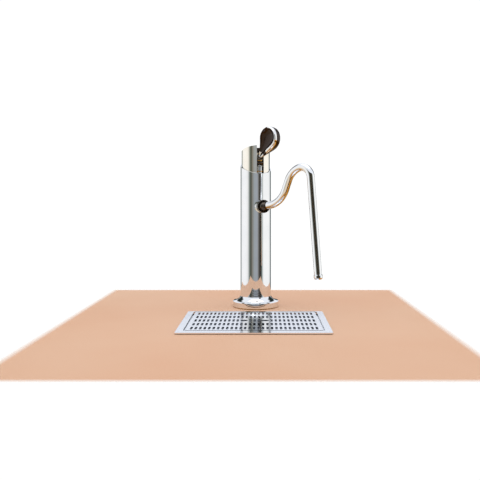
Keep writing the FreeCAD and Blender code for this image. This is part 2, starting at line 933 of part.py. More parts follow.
def make_supply():
    x, y = of.supply_side, of.supply_back
    lower = -(of.shank_end + 20.0)
    upper = of.block_bottom + 6.0
    tube = cut(
        rod(x, y, lower, upper, of.supply_radius),
        [rod(x, y, lower - 1.0, upper + 1.0, of.supply_radius - 1.0)],
    )
    finished(tube, "supply_tube", TOWER)
    nut_low = of.block_bottom - 9.0
    nut = cut(
        hexagon(x, y, nut_low, 9.0, NUT_FLATS["supply"]),
        [rod(x, y, nut_low - 1.0, of.block_bottom + 1.0, of.supply_radius)],
    )
    finished(nut, "supply_nut", TOWER)
    bush = cut(
        joined(
            [
                rod(0.0, 0.0, -of.shank_end, -of.shank_end + 8.0, of.shank_bore),
                rod(0.0, 0.0, -of.shank_end - 2.0, -of.shank_end, of.shank_bore + 2.0),
            ]
        ),
        [rod(x, y, -of.shank_end - 3.0, -of.shank_end + 9.0, of.supply_radius)],
    )
    finished(bush, "shank_bush", TOWER)
    nipple_low = lower - 10.0 - of.nipple_length
    fitting = cut(
        joined(
            [
                hexagon(x, y, lower - 10.0, 14.0, NUT_FLATS["inlet"]),
                rod(x, y, nipple_low, lower - 10.0, of.nipple_radius),
            ]
        ),
        [
            rod(x, y, lower, lower + 5.0, of.supply_radius),
            rod(x, y, nipple_low - 1.0, lower + 1.0, of.supply_radius - 1.0),
        ],
    )
    finished(fitting, "inlet_fitting", TOWER)


# ---------------------------------------------------------------- drip tray

TRAY = Placement(Vector(0, of.tray_back.value - of.tray_depth.value / 2, 0), Rotation())
# the grate and the drain are centred on the tray's opening
OPENING = Placement(TRAY.Base + Vector(0, of.opening_shift.value, 0), Rotation())


def make_tray():
    wall = of.sheet * 2
    body = new_body("tray_basin")
    bottom = of.basin_floor - of.sheet
    step = of.ledge_height - of.sheet
    shift = of.opening_shift
    layers = [
        (of.tray_width, of.tray_depth, 3.0, 0.0, of.tray_lip_bottom, of.tray_lip_top),
        (of.opening_width + wall, of.opening_depth + wall, 5.0, shift, step, of.tray_lip_bottom),
        (of.basin_width + wall, of.basin_depth + wall, 8.0, shift, bottom, step),
    ]
    for width, depth, corner, middle_y, low, high in layers:
        sketch = new_sketch(body, "XY_Plane", low)
        draw_panel(sketch, width, depth, corner, middle_y)
        add_pad(body, sketch, high - low)
        doc.recompute()
    pockets = [
        (of.opening_width, of.opening_depth, 4.0, of.ledge_height),
        (of.basin_width, of.basin_depth, 7.0, of.basin_floor),
    ]
    for width, depth, corner, floor in pockets:
        sketch = new_sketch(body, "XY_Plane", floor)
        draw_panel(sketch, width, depth, corner, shift)
        add_pocket(body, sketch, of.tray_lip_top - floor, upward=True)
        doc.recompute()
    sketch = new_sketch(body, "XY_Plane", bottom)
    draw_circle(sketch, 0.0, shift, of.drain_radius)
    add_pocket(body, sketch, of.sheet, upward=True)
    finished(body, "tray_basin", TRAY)
    gasket = new_body("tray_gasket")
    sketch = new_sketch(gasket, "XY_Plane")
    draw_panel(sketch, of.tray_width - 2.0, of.tray_depth - 2.0, 2.0)
    draw_panel(sketch, of.opening_width + wall + 1.0, of.opening_depth + wall + 1.0, 5.0, shift)
    add_pad(gasket, sketch, of.tray_lip_bottom)
    finished(gasket, "tray_gasket", TRAY)


def make_grate():
    body = new_body("drip_grate")
    low = of.tray_lip_top - of.grate_thickness
    sketch = new_sketch(body, "XY_Plane", low)
    draw_panel(sketch, of.grate_width, of.grate_depth, 2.0)
    add_pad(body, sketch, of.grate_thickness)
    doc.recompute()
    slit = new_sketch(body, "XY_Plane", low)
    half = of.slit_width / 2
    reach = (of.slit_length - of.slit_width) / 2
    first_x = -(of.slit_pitch * ((SLITS_ACROSS - 1) / 2))
    first_y = -(of.row_pitch * ((SLIT_ROWS - 1) / 2))
    draw_outline(
        slit,
        [
            (first_x - half, first_y - reach, half + 0.001),
            (first_x + half, first_y - reach),
            (first_x + half, first_y + reach, half + 0.001),
            (first_x - half, first_y + reach),
        ],
    )
    pocket = add_pocket(body, slit, of.grate_thickness, upward=True)
    doc.recompute()
    pattern = body.newObject("PartDesign::LinearPattern", "slits")
    pattern.Originals = [pocket]
    pattern.Direction = (slit, ["H_Axis"])
    bind(pattern, "Length", of.slit_pitch * (SLITS_ACROSS - 1))
    pattern.Occurrences = SLITS_ACROSS
    pattern.Direction2 = (slit, ["V_Axis"])
    bind(pattern, "Length2", of.row_pitch * (SLIT_ROWS - 1))
    pattern.Occurrences2 = SLIT_ROWS
    body.Tip = pattern
    doc.recompute()
    make_finger_holes(body, low)
    finished(body, "drip_grate", OPENING)
    pads = []
    for side in (-1, 1):
        for end in (-1, 1):
            spot_x = (of.grate_width / 2 - 2.6).value * side
            spot_y = (of.grate_depth / 2 - 2.0).value * end
            pads.append(rod(spot_x, spot_y, of.ledge_height, low, 1.6))
    finished(joined(pads), "grate_pads", OPENING)


def make_finger_holes(body, low):
    """Close two pairs of slits in the middle row, and put a round hole in each place."""
    middle = of.slit_pitch * 2.5
    width = of.slit_pitch + of.slit_width + 1.2
    reach = of.slit_length / 2 + 0.6
    closed = new_sketch(body, "XY_Plane", low)
    holes = new_sketch(body, "XY_Plane", low)
    for place in (-middle, middle):
        left = place - width / 2
        right = place + width / 2
        draw_outline(closed, [(left, -reach), (right, -reach), (right, reach), (left, reach)])
        draw_circle(holes, place, 0.0, of.finger_radius)
    add_pad(body, closed, of.grate_thickness)
    doc.recompute()
    add_pocket(body, holes, of.grate_thickness, upward=True)


def make_drain():
    floor = of.basin_floor
    radius = of.drain_radius
    below = floor - of.sheet
    bore = of.hose_radius - 1.5
    end = below - of.drain_length
    turned(
        "drain_spigot",
        [
            (bore, end),
            (of.hose_radius, end),
            (of.hose_radius, end + of.hose_length),
            (radius, end + of.hose_length),
            (radius, floor),
            (radius + 8.0, floor),
            (radius + 8.0, floor + 1.5),
            (bore, floor + 1.5),
        ],
        OPENING,
    )
    ring("drain_gasket", radius, radius + 8.0, below - 2.0, below, OPENING)
    nut = cut(
        hexagon(0.0, 0.0, below - 10.0, 8.0, NUT_FLATS["drain"]),
        [rod(0.0, 0.0, below - 11.0, below - 1.0, radius)],
    )
    finished(nut, "drain_nut", OPENING)
    holes = [rod(0.0, 0.0, floor + 1.0, floor + 4.0, 1.2)]
    for count, circle in ((6, 4.0), (12, 7.6)):
        for step in range(count):
            angle = 2 * math.pi * step / count
            spot = (circle * math.cos(angle), circle * math.sin(angle))
            holes.append(rod(spot[0], spot[1], floor + 1.0, floor + 4.0, 1.2))
    disc = rod(0.0, 0.0, floor + 1.5, floor + 2.7, radius + 6.0)
    finished(cut(disc, holes), "drain_strainer", OPENING)


# ---------------------------------------------------------------- build, check and write


def check_and_write():
    doc.recompute()
    failed = [item.Name for item in doc.Objects if {"Invalid", "Error"} & set(item.State)]
    if failed:
        raise SystemExit(f"these objects failed: {failed}")
    os.makedirs("parts", exist_ok=True)
    for node in nodes:
        shape = node.Shape
        if shape.isNull() or not shape.isValid() or shape.Volume <= 0:
            raise SystemExit(f"{node.Label} has no valid shape")
        shape.exportStep(f"parts/{node.Label}.step")
        print(f"{node.Label}: {len(shape.Solids)} solid(s), {shape.Volume:.0f} mm3")
    print(len(nodes), "nodes")


make_base()
make_column()
make_set_screws()
make_head_cap()
make_valve_block()
make_valve()
make_knuckle()
make_paddle()
make_ball_joint()
make_wand()
make_clamp()
make_supply()
make_tray()
make_grate()
make_drain()
check_and_write()
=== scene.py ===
"""Looks of the counter-mounted tap: detailed pieces, materials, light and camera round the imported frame."""

import json
import math

import bmesh
import bpy
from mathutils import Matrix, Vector


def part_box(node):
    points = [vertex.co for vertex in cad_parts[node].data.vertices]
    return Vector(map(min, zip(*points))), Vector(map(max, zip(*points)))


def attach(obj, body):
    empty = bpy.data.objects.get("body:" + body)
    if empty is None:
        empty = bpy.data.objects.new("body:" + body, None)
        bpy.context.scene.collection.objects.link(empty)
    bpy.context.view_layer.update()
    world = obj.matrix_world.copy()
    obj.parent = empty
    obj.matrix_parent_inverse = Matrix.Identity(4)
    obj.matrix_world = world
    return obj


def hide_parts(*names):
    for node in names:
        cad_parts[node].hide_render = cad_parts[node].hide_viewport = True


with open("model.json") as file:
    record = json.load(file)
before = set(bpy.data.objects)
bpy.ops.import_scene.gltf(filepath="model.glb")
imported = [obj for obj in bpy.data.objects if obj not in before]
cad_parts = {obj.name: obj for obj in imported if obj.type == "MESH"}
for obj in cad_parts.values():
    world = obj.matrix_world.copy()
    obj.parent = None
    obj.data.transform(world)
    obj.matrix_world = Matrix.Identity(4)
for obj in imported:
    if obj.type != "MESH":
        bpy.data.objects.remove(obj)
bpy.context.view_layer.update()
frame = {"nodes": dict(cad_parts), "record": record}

NODES = frame["nodes"]
RECORD = frame["record"]
SLOT_OF = {item["node"]: item["material_slot"] for item in RECORD["subparts"]}
BODY_OF = {node: body for body, group in RECORD["behaviour"]["bodies"].items() for node in group}


# ---------------------------------------------------------------- material helpers


def srgb(code):
    """A linear colour from a six-digit code."""
    parts = [int(code[i : i + 2], 16) / 255 for i in (0, 2, 4)]
    return tuple(p / 12.92 if p <= 0.04045 else ((p + 0.055) / 1.055) ** 2.4 for p in parts) + (1.0,)


def fill_ramp(ramp, stops):
    """Set a colour ramp's stops, each a place and a linear colour."""
    while len(ramp.elements) > 1:
        ramp.elements.remove(ramp.elements[-1])
    for index, (place, colour) in enumerate(stops):
        element = ramp.elements[0] if index == 0 else ramp.elements.new(place)
        element.position = place
        element.color = colour


def set_in_scene(name, data):
    """A new object with that data, in the scene."""
    thing = bpy.data.objects.new(name, data)
    bpy.context.scene.collection.objects.link(thing)
    return thing


def to_data(name, mesh):
    """The bmesh as mesh data; the bmesh is freed."""
    data = bpy.data.meshes.new(name)
    mesh.normal_update()
    mesh.to_mesh(data)
    mesh.free()
    return data


class Maker:
    """A material with short ways to add nodes to it."""

    def __init__(self, name):
        self.material = bpy.data.materials.new(name)
        self.material.use_nodes = True
        self.tree = self.material.node_tree
        self.shader = self.tree.nodes["Principled BSDF"]
        self.place = self.node("ShaderNodeTexCoord").outputs["Object"]

    def node(self, kind, **values):
        made = self.tree.nodes.new(kind)
        for key, value in values.items():
            setattr(made, key, value)
        return made

    def link(self, source, target):
        self.tree.links.new(source, target)

    def stretched(self, scale, turn=(0.0, 0.0, 0.0)):
        mapping = self.node("ShaderNodeMapping")
        mapping.inputs["Scale"].default_value = scale
        mapping.inputs["Rotation"].default_value = turn
        self.link(self.place, mapping.inputs["Vector"])
        return mapping.outputs["Vector"]

    def noise(self, scale, detail=3.0, rough=0.55, at=None, warp=0.0):
        made = self.node("ShaderNodeTexNoise")
        made.inputs["Scale"].default_value = scale
        made.inputs["Detail"].default_value = detail
        made.inputs["Roughness"].default_value = rough
        made.inputs["Distortion"].default_value = warp
        self.link(at or self.place, made.inputs["Vector"])
        return made.outputs["Fac"]

    def ramp(self, source, stops):
        made = self.node("ShaderNodeValToRGB")
        fill_ramp(made.color_ramp, stops)
        self.link(source, made.inputs["Fac"])
        return made.outputs["Color"]

    def spread(self, source, low, high, start=0.3, end=0.7):
        made = self.node("ShaderNodeMapRange")
        made.inputs["From Min"].default_value = start
        made.inputs["From Max"].default_value = end
        made.inputs["To Min"].default_value = low
        made.inputs["To Max"].default_value = high
        self.link(source, made.inputs["Value"])
        return made.outputs["Result"]

    def sum(self, first, second, operation="ADD"):
        made = self.node("ShaderNodeMath", operation=operation)
        self.link(first, made.inputs[0])
        if isinstance(second, float):
            made.inputs[1].default_value = second
        else:
            self.link(second, made.inputs[1])
        return made.outputs[0]

    def blend(self, share, first, second, kind="MIX"):
        made = self.node("ShaderNodeMix", data_type="RGBA", blend_type=kind)
        if isinstance(share, float):
            made.inputs["Factor"].default_value = share
        else:
            self.link(share, made.inputs["Factor"])
        self.link(first, made.inputs["A"])
        self.link(second, made.inputs["B"])
        return made.outputs["Result"]

    def bump(self, height, strength, distance):
        made = self.node("ShaderNodeBump")
        made.inputs["Strength"].default_value = strength
        made.inputs["Distance"].default_value = distance
        self.link(height, made.inputs["Height"])
        self.link(made.outputs["Normal"], self.shader.inputs["Normal"])

    def set(self, **values):
        for key, value in values.items():
            self.shader.inputs[key.replace("_", " ")].default_value = value

    def colour(self, source):
        self.link(source, self.shader.inputs["Base Color"])

    def rough(self, source):
        self.link(source, self.shader.inputs["Roughness"])


def chrome():
    """Mirror plating with faint smudges and hair-fine polishing marks."""
    m = Maker("chrome_plate")
    m.set(Metallic=1.0)
    cloud = m.noise(34.0, 4.0, 0.6)
    m.colour(m.ramp(cloud, [(0.3, srgb("e9ebec")), (0.62, srgb("f1f2f2")), (0.85, srgb("eceae6"))]))
    smudge = m.spread(m.noise(55.0, 5.0, 0.62, warp=0.6), 0.018, 0.055, 0.42, 0.78)
    hair = m.spread(m.noise(900.0, 2.0, 0.5, m.stretched((1.0, 1.0, 0.04))), 0.0, 0.012)
    m.rough(m.sum(smudge, hair))
    m.bump(m.noise(700.0, 2.0, 0.5, m.stretched((1.0, 1.0, 0.05))), 0.02, 0.0002)
    return m.material


def warm_chrome():
    """Older plating on the head, a little yellower than the column's."""
    m = Maker("warm_chrome")
    m.set(Metallic=1.0)
    cloud = m.noise(38.0, 4.0, 0.6)
    m.colour(m.ramp(cloud, [(0.3, srgb("f4eddf")), (0.65, srgb("faf6ec")), (0.88, srgb("ede3d0"))]))
    smudge = m.spread(m.noise(60.0, 5.0, 0.62, warp=0.6), 0.03, 0.08, 0.42, 0.78)
    lines = m.noise(1400.0, 2.0, 0.5, m.stretched((1.0, 1.0, 0.03)))
    m.rough(m.sum(smudge, m.spread(lines, 0.0, 0.03)))
    m.bump(lines, 0.03, 0.0002)
    return m.material


def painted_dark_steel():
    """Polished steel painted dark for the dark reflection on the nut, ball and knuckle, with faint wear in
    patches.
    """
    m = Maker("painted_dark_steel")
    m.set(Metallic=1.0)
    wear = m.noise(90.0, 5.0, 0.62, warp=0.6)
    # the dark base colour is painted reflection; the lighter patches are wear
    m.colour(m.ramp(wear, [(0.3, srgb("4a443e")), (0.6, srgb("5b544c")), (0.85, srgb("857a6c"))]))
    m.rough(m.sum(m.spread(wear, 0.06, 0.16), m.spread(m.noise(900.0, 3.0), 0.0, 0.04)))
    m.bump(m.noise(1100.0, 3.0), 0.04, 0.0001)
    return m.material


def painted_dark_reflection():
    """Deep brown-black gloss painted on the paddle for the dark reflection its dish, back and neck's left
    side show, slightly clouded, with rub marks.
    """
    m = Maker("painted_dark_reflection")
    m.set(Specular_IOR_Level=0.38, Specular_Tint=(0.95, 0.72, 0.6, 1.0))
    m.set(Coat_Weight=0.12, Coat_Roughness=0.1)
    cloud = m.noise(60.0, 5.0, 0.6, warp=0.9)
    m.colour(m.ramp(cloud, [(0.28, srgb("120907")), (0.55, srgb("21130e")), (0.85, srgb("33201a"))]))
    rubs = m.noise(240.0, 4.0, 0.6, m.stretched((1.0, 0.3, 1.0)))
    m.rough(m.sum(m.spread(cloud, 0.1, 0.22), m.spread(rubs, 0.0, 0.08)))
    m.bump(m.noise(500.0, 3.0), 0.03, 0.0002)
    return m.material


def polished_steel():
    """Turned and polished stainless steel."""
    m = Maker("polished_steel")
    m.set(Metallic=1.0)
    m.colour(m.ramp(m.noise(60.0, 4.0), [(0.3, srgb("c9cbcc")), (0.7, srgb("dadbdb"))]))
    rings = m.noise(2600.0, 2.0, 0.5, m.stretched((0.05, 0.05, 1.0)))
    m.rough(m.sum(m.spread(m.noise(80.0, 4.0), 0.06, 0.12), m.spread(rings, 0.0, 0.05)))
    m.bump(rings, 0.06, 0.0001)
    return m.material


def tray_steel():
    """Stainless sheet with a fine grain along X, and faint water marks."""
    m = Maker("tray_steel")
    m.set(Metallic=1.0)
    grain = m.noise(1800.0, 3.0, 0.6, m.stretched((0.02, 1.0, 1.0)))
    marks = m.noise(26.0, 5.0, 0.6, warp=1.2)
    base = m.ramp(marks, [(0.3, srgb("e6e9ee")), (0.6, srgb("f0f2f6")), (0.8, srgb("dfe2e8"))])
    fine = m.ramp(grain, [(0.35, srgb("ececee")), (0.65, srgb("ffffff"))])
    m.colour(m.blend(0.5, base, fine, "MULTIPLY"))
    m.rough(m.sum(m.spread(grain, 0.07, 0.13), m.spread(marks, 0.0, 0.06)))
    m.bump(grain, 0.05, 0.0001)
    return m.material


def brass():
    """Turned brass with darker tarnish in patches."""
    m = Maker("turned_brass")
    m.set(Metallic=1.0)
    tarnish = m.noise(70.0, 5.0, 0.6, warp=0.5)
    m.colour(m.ramp(tarnish, [(0.3, srgb("b98a3e")), (0.55, srgb("d3a555")), (0.8, srgb("a97a38"))]))
    rings = m.noise(1800.0, 2.0, 0.5, m.stretched((0.04, 0.04, 1.0)))
    m.rough(m.sum(m.spread(tarnish, 0.16, 0.3), m.spread(rings, 0.0, 0.08)))
    m.bump(rings, 0.12, 0.0002)
    return m.material


def zinc_steel():
    """Zinc-plated steel, slightly mottled."""
    m = Maker("zinc_steel")
    m.set(Metallic=1.0)
    mottle = m.noise(160.0, 4.0, 0.7)
    m.colour(m.ramp(mottle, [(0.3, srgb("a7abab")), (0.55, srgb("bcc0c2")), (0.8, srgb("b3ad9a"))]))
    m.rough(m.spread(m.noise(420.0, 4.0), 0.24, 0.42))
    m.bump(m.noise(900.0, 3.0), 0.1, 0.0002)
    return m.material


def copper():
    """Drawn copper tube with draw marks along it and a little tarnish."""
    m = Maker("drawn_copper")
    m.set(Metallic=1.0)
    tarnish = m.noise(45.0, 5.0, 0.65, warp=0.8)
    m.colour(m.ramp(tarnish, [(0.3, srgb("a8633f")), (0.55, srgb("c8805a")), (0.8, srgb("85503a"))]))
    lines = m.noise(1500.0, 2.0, 0.5, m.stretched((1.0, 1.0, 0.03)))
    m.rough(m.sum(m.spread(tarnish, 0.18, 0.34), m.spread(lines, 0.0, 0.07)))
    m.bump(lines, 0.1, 0.0002)
    return m.material


def rubber(name, dark, pale, rough_low, rough_high):
    """Dull rubber with a little dust."""
    m = Maker(name)
    dust = m.noise(120.0, 5.0, 0.65)
    m.colour(m.ramp(dust, [(0.3, srgb(dark)), (0.75, srgb(pale))]))
    m.rough(m.spread(m.noise(300.0, 4.0), rough_low, rough_high))
    m.bump(m.noise(1600.0, 3.0), 0.2, 0.0003)
    return m.material


def ptfe():
    """Waxy white seat plastic with faint turning lines."""
    m = Maker("white_ptfe")
    m.colour(m.ramp(m.noise(90.0, 4.0), [(0.3, srgb("e6e4dc")), (0.7, srgb("f1f0ea"))]))
    m.rough(m.spread(m.noise(260.0, 3.0), 0.38, 0.52))
    m.set(Subsurface_Weight=0.15, Subsurface_Scale=0.001)
    m.bump(m.noise(1500.0, 2.0, 0.5, m.stretched((0.05, 0.05, 1.0))), 0.08, 0.0002)
    return m.material


def moulded_plastic():
    """Black plastic with a fine moulded grain."""
    m = Maker("black_plastic")
    m.colour(m.ramp(m.noise(140.0, 4.0), [(0.3, srgb("17181a")), (0.7, srgb("26272a"))]))
    m.rough(m.spread(m.noise(500.0, 4.0), 0.42, 0.6))
    m.bump(m.noise(2200.0, 3.0), 0.18, 0.0002)
    return m.material


MATERIALS = {
    "chrome": chrome(),
    "polished_steel": polished_steel(),
    "tray_steel": tray_steel(),
    "brass": brass(),
    "zinc_steel": zinc_steel(),
    "copper_tube": copper(),
    "black_rubber": rubber("black_rubber", "0c0c0d", "1b1b1d", 0.62, 0.82),
    "seal_rubber": rubber("seal_rubber", "141111", "241f1e", 0.38, 0.55),
    "white_ptfe": ptfe(),
    "black_plastic": moulded_plastic(),
}


# ---------------------------------------------------------------- carried-over nodes


def paint(thing, material):
    thing.data.materials.clear()
    thing.data.materials.append(material)


for node_name, thing in NODES.items():
    paint(thing, MATERIALS[SLOT_OF[node_name]])
paint(NODES["head_cap"], warm_chrome())
darkened_steel = painted_dark_steel()
# a darker copy of the steel, painted dark for the dark reflection these parts show
for node_name in ("joint_nut", "swivel_ball", "lever_knuckle"):
    paint(NODES[node_name], darkened_steel)


# ---------------------------------------------------------------- the paddle


def new_piece(name, mesh, node, materials):
    """A smooth piece made from a bmesh, with the given materials, which rides on a CAD node's body."""
    bmesh.ops.recalc_face_normals(mesh, faces=mesh.faces)
    data = to_data(name, mesh)
    for polygon in data.polygons:
        polygon.use_smooth = True
    piece = set_in_scene(name, data)
    for material in materials:
        data.materials.append(material)
    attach(piece, BODY_OF[node])
    return piece


# the paddle's frame: its centre, and its across and outward directions; up is Z
PADDLE_CENTRE = Vector((0.0228, -0.034, 0.279))
ACROSS = Vector((0.722, -0.692, 0.0)).normalized()
OUTWARD = Vector((-0.692, -0.722, 0.0)).normalized()
# matching points of the spoon's outer edge and of its dish's edge, across and up, in millimetres
SPOON_EDGE = [
    (0, 18), (5.6, 17.1), (11.5, 13.8), (16, 8.2), (18, 0.5), (17.6, -6.5),
    (14.8, -13), (10, -18.2), (3, -22.3), (-5.5, -26), (-13, -29.4), (-19, -32.6),
    (-23, -33.4), (-25.2, -31), (-24.8, -27), (-23.4, -22.4), (-21.4, -17.6), (-19.8, -12.2),
    (-18.4, -6.2), (-18, 0), (-17.2, 5.6), (-14.2, 11), (-9.4, 15.2), (-4.7, 17.3),
]
DISH_EDGE = [
    (0, 15.2), (4.7, 14.4), (9.7, 11.6), (13.5, 6.9), (15.2, 0.4), (14.2, -5.4),
    (11, -10.2), (6.2, -13.8), (0.2, -16.8), (-6, -20.3), (-13, -25.3), (-18.8, -29),
    (-21.6, -30.2), (-22.8, -29), (-22.5, -26), (-21.4, -21.8), (-19.6, -17), (-17.8, -11.8),
    (-16.2, -6), (-15.2, 0), (-14.4, 4.7), (-11.9, 9.2), (-7.9, 12.7), (-3.9, 14.5),
]
# the spine goes from the middle of the head to here, near the neck's end
SPINE_END = (-22.5, -31.0)
# the neck is thinner than the head by this share, from one share of the spine to another
NECK_THINNER = 0.72
NECK_STARTS, NECK_THINS_OVER = 0.25, 0.5
# rings from the back to the dish's floor: share towards the dish's edge, scale about the spine, depth
SPOON_RINGS = [
    (0.0, 0.3, -11.3), (0.0, 0.62, -11.0), (0.0, 0.86, -9.4), (0.0, 0.97, -6.6), (0.0, 1.0, -2.5),
    (0.0, 1.0, 2.0), (0.25, 1.0, 5.2), (0.6, 1.0, 6.2), (1.0, 1.0, 5.8), (1.0, 0.93, 4.0),
    (1.0, 0.7, 1.2), (1.0, 0.35, -0.6),
]
# the plated lip is on these strips between rings, up to this point of the edge, and the neck's plating
# is between these points of the edge; the paddle's other faces take the dark brown painted reflection
LIP_STRIPS, LIP_END = (5, 6, 7), 8
NECK_POINTS = range(10, 15)


def clamped(value):
    return min(1.0, max(0.0, value))


def make_spoon():
    """The paddle as one flowing spoon: a deep dish that thins into the swan neck."""
    mesh = bmesh.new()
    rings = []
    count = len(SPOON_EDGE)
    spine_x, spine_y = SPINE_END
    for share, scale, depth in SPOON_RINGS:
        ring = []
        for (ox, oy), (dx, dy) in zip(SPOON_EDGE, DISH_EDGE):
            x = ox + (dx - ox) * share
            y = oy + (dy - oy) * share
            # towards the nearest spot on the spine
            along = clamped((x * spine_x + y * spine_y) / (spine_x**2 + spine_y**2))
            x = spine_x * along + (x - spine_x * along) * scale
            y = spine_y * along + (y - spine_y * along) * scale
            thin = 1.0 - NECK_THINNER * clamped((along - NECK_STARTS) / NECK_THINS_OVER)
            place = PADDLE_CENTRE + (ACROSS * x + OUTWARD * (depth * thin)) / 1000
            place.z += y / 1000
            ring.append(mesh.verts.new(place))
        rings.append(ring)
    for index, (ring, following) in enumerate(zip(rings, rings[1:])):
        for i in range(count):
            j = (i + 1) % count
            face = mesh.faces.new((ring[i], ring[j], following[j], following[i]))
            plated = i in NECK_POINTS or (index in LIP_STRIPS and i <= LIP_END)
            face.material_index = 1 if plated else 0
    # the end caps join the points on both sides; the first and last are triangles
    for ring in (rings[0], rings[-1]):
        for i in range(count // 2):
            loop = [ring[i], ring[i + 1], ring[count - i - 1], ring[(count - i) % count]]
            mesh.faces.new(list(dict.fromkeys(loop)))
    # the first material paints the dish, back and neck's left side dark brown for their dark reflection; the
    # second is chrome
    piece = new_piece("paddle_spoon", mesh, "lever_paddle", [painted_dark_reflection(), MATERIALS["chrome"]])
    rounding = piece.modifiers.new("round", "SUBSURF")
    rounding.levels = 3
    rounding.render_levels = 3
    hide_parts("lever_paddle")


make_spoon()


# ---------------------------------------------------------------- stage, light and camera


FLOOR_REACH = 3.0
# what is painted of the floor: along each axis its middle, and its half width
FLOOR_SIZES = (("X", -0.008, 0.27), ("Y", -0.121, 0.3))
FLOOR_BLUR = 0.006
# polished metal sees the floor only this far forward
MIRRORED_FRONT = (-0.36, -0.345)
# how far the tray's rim and the washer reach past the openings
RIM_OVERLAP = 0.008
WASHER_OVERLAP = 0.004


def make_floor():
    """A pale floor at the worktop's height, open where the tray and the shank go through."""
    low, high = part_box("tray_basin")
    front, back = low.y + RIM_OVERLAP, high.y - RIM_OVERLAP
    xs = [-FLOOR_REACH, low.x + RIM_OVERLAP, high.x - RIM_OVERLAP, FLOOR_REACH]
    ys = [-FLOOR_REACH, front, back, -back, FLOOR_REACH]
    mesh = bmesh.new()
    grid = [[mesh.verts.new((x, y, 0.0)) for y in ys] for x in xs]
    for i in range(3):
        for j in range(4):
            if (i, j) in ((1, 1), (1, 2)):
                continue
            mesh.faces.new((grid[i][j], grid[i + 1][j], grid[i + 1][j + 1], grid[i][j + 1]))
    # the cell behind the tray is open round the shank
    corners = [grid[1][2], grid[2][2], grid[2][3], grid[1][3]]
    count = 48
    quarter = count // 4
    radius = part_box("rubber_washer")[1].x - WASHER_OVERLAP
    angles = [2 * math.pi * i / count for i in range(count)]
    rim = [mesh.verts.new((radius * math.cos(a), radius * math.sin(a), 0.0)) for a in angles]
    for side, corner in enumerate(corners):
        first = count // 2 + quarter * side
        for step in range(first, first + quarter):
            mesh.faces.new((corner, rim[(step + 1) % count], rim[step % count]))
        mesh.faces.new((corner, corners[(side + 1) % 4], rim[(first + quarter) % count]))
    floor = set_in_scene("floor", to_data("floor", mesh))
    paint(floor, floor_paint())


def floor_paint():
    """Pale peach inside the floor's sizes and clear outside them. Seen in polished metal it ends nearer, and
    where the reflection looks down on it steeply it carries a painted golden reflection."""
    m = Maker("floor_paint")
    split = m.node("ShaderNodeSeparateXYZ")
    m.link(m.place, split.inputs[0])
    away = []
    for axis, middle, half in FLOOR_SIZES:
        shifted = m.sum(split.outputs[axis], -middle)
        size = m.sum(shifted, 0.0, "ABSOLUTE")
        away.append(m.spread(size, 0.0, 1.0, half - FLOOR_BLUR, half + FLOOR_BLUR))
    mirrored = m.node("ShaderNodeLightPath")
    front = m.spread(split.outputs["Y"], 1.0, 0.0, *MIRRORED_FRONT)
    front = m.sum(front, mirrored.outputs["Is Glossy Ray"], "MULTIPLY")
    far = m.sum(m.sum(away[0], away[1], "MAXIMUM"), front, "MAXIMUM")
    plain = m.ramp(m.noise(3.0, 3.0), [(0.3, srgb("ebb894")), (0.7, srgb("efc3a1"))])
    # painted golden reflection: only glossy rays that look steeply down on the floor see this gold
    gold_reflection_streaks = m.noise(9.0, 4.0, 0.6, m.stretched((0.35, 4.0, 1.0)), warp=0.4)
    painted_gold_reflection = m.ramp(gold_reflection_streaks, [(0.36, srgb("6b4212")), (0.46, srgb("cf8a22")), (0.7, srgb("e0a040"))])
    slope = m.node("ShaderNodeLayerWeight")
    gold_reflection_share = m.spread(slope.outputs["Facing"], 1.0, 0.0, 0.38, 0.55)
    gold_reflection_share = m.sum(gold_reflection_share, mirrored.outputs["Is Glossy Ray"], "MULTIPLY")
    m.colour(m.blend(gold_reflection_share, plain, painted_gold_reflection))
    m.set(Roughness=0.65, Specular_IOR_Level=0.2)
    clear = m.node("ShaderNodeBsdfTransparent")
    edge_mix = m.node("ShaderNodeMixShader")
    m.link(far, edge_mix.inputs[0])
    m.link(m.shader.outputs[0], edge_mix.inputs[1])
    m.link(clear.outputs[0], edge_mix.inputs[2])
    m.link(edge_mix.outputs[0], m.tree.nodes["Material Output"].inputs["Surface"])
    return m.material


# the studio's walls: degrees from the front towards +X, and colour
WALLS = [
    (-180, "4a5152"),
    (-158, "59605f"),
    (-145, "8d9494"),
    (-134, "e6e8e9"),
    (-125, "fafafc"),
    (-87, "fdfdff"),
    (-67, "f6f6f6"),
    (-58, "d8d8d8"),
    (-50, "8b938e"),
    (-42, "575d56"),
    (-34, "57574f"),
    (-26, "85827a"),
    (-18, "939696"),
    (-11, "9da4a9"),
    (12, "a0a4ac"),
    (20, "7c7b78"),
    (27, "4e4b48"),
    (35, "2c2b2c"),
    (44, "4c524e"),
    (52, "b4bcb9"),
    (60, "f6f6f6"),
    (65, "fefefe"),
    (113, "fefefe"),
    (128, "f0f0f0"),
    (138, "b0b8b8"),
    (148, "6a7273"),
    (160, "4f5657"),
    (180, "4a5152"),
]
# cards before the walls: colour, whether it stands on both sides, and where it fades in and out, first in
# degrees as above, then in height, as the sine of the elevation
CARDS = [
    ("28302e", True, (112, 124), (160, 168), (0.17, 0.22), (0.6, 0.72)),
    ("cc8822", False, (5, 20), (125, 140), (-0.78, -0.7), (-0.27, -0.2)),
    ("2b1d0c", False, (5, 20), (125, 140), (-0.5, -0.45), (-0.38, -0.33)),
]
# the ceiling's edge in front, and how low it comes behind the object; heights as above
CEILING_FRONT, CEILING_BACK = 0.48, 0.155
CEILING_BLUR = 0.015


